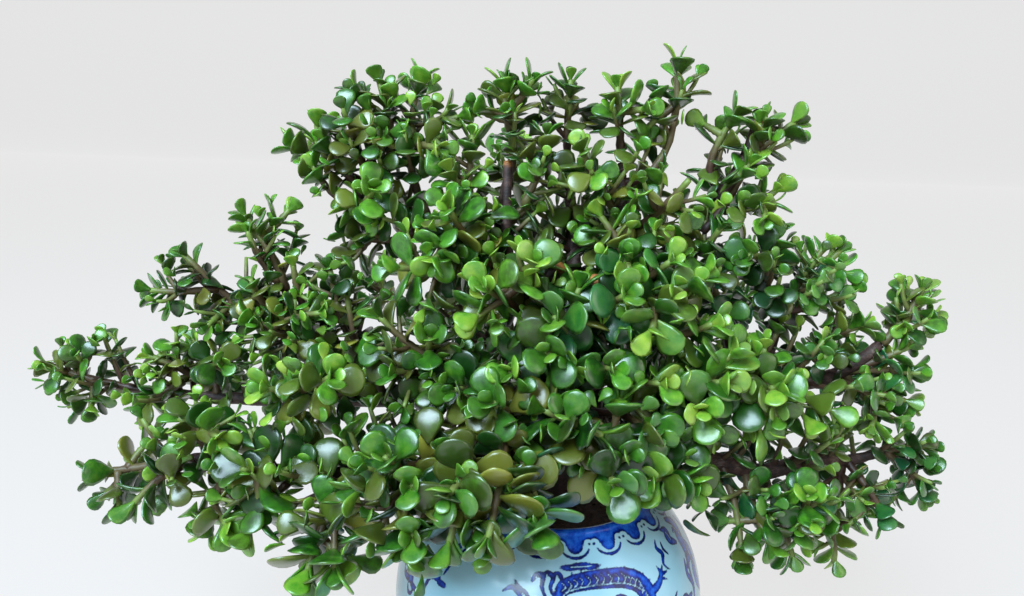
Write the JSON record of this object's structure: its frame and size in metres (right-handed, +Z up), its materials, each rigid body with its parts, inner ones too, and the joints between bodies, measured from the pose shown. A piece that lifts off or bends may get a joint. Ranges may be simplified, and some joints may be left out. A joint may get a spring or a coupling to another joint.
{
  "type": "dwarf jade bonsai",
  "caption": "Dwarf jade grown as a wide bonsai with glossy rounded leaves, in a round blue and white porcelain jar of dark soil.",
  "frame": {"origin": "centre of the jar's flat foot, on the surface that it stands on", "axes": "+Z up along the jar's axis; +X to the plant's right as the picture sees it, along its widest spread; +Y away from the viewer"},
  "size_m": [0.4705, 0.2294, 0.3451],
  "materials": {
    "porcelain": "gloss",
    "soil": "matte",
    "bark": "matte",
    "leaf": "satin",
    "young_leaf": "satin",
    "shade_leaf": "satin"
  },
  "bodies": {
    "root": {"jar": "porcelain", "soil": "soil", "trunk_and_limbs": "bark", "spray_left_end": "leaf", "spray_left_outer": "young_leaf", "spray_left_sprig": "shade_leaf", "spray_left_shelf": "leaf", "spray_left_twin": "young_leaf", "spray_left_twin_low": "shade_leaf", "spray_left_bank": "leaf", "spray_left_front": "young_leaf", "spray_left_low_end": "shade_leaf", "spray_left_low_up": "leaf", "spray_left_low_down": "young_leaf", "spray_left_low_front": "shade_leaf", "spray_left_hang": "leaf", "spray_front_left": "young_leaf", "spray_front_corner": "shade_leaf", "spray_front_rim": "leaf", "spray_front_middle": "young_leaf", "spray_front_right": "shade_leaf", "spray_right_rim": "leaf", "spray_right_shoulder": "young_leaf", "spray_right_low_near": "shade_leaf", "spray_right_low_far": "leaf", "spray_right_hang": "young_leaf", "spray_right_low_end": "shade_leaf", "spray_right_mid_end": "leaf", "spray_right_end": "young_leaf", "spray_right_crook": "shade_leaf", "spray_right_up_end": "leaf", "spray_right_front": "young_leaf", "spray_crown_right_end": "shade_leaf", "spray_crown_right_top": "leaf", "spray_crown_right_low": "young_leaf", "spray_right_gap": "shade_leaf", "spray_crown_tall": "leaf", "spray_crown_mid_top": "young_leaf", "spray_crown_back_top": "shade_leaf", "spray_crown_centre_top": "leaf", "spray_crown_left_top": "young_leaf", "spray_crown_far_left_top": "shade_leaf", "spray_crown_left_end": "leaf", "spray_crown_left_low": "young_leaf", "spray_shoulder_left": "shade_leaf", "spray_centre_left": "leaf", "spray_centre_bark": "young_leaf", "spray_centre_front": "shade_leaf", "spray_centre_mid": "leaf", "spray_centre_right": "young_leaf", "spray_hollow_left": "shade_leaf", "spray_back_left_end": "leaf", "spray_back_left_mid": "young_leaf", "spray_back_right_end": "shade_leaf", "spray_back_right_mid": "leaf", "spray_back_low_end": "young_leaf", "spray_back_low_right_end": "shade_leaf", "spray_back_top_end": "leaf", "spray_back_crown": "young_leaf"}
  },
  "joints": []
}
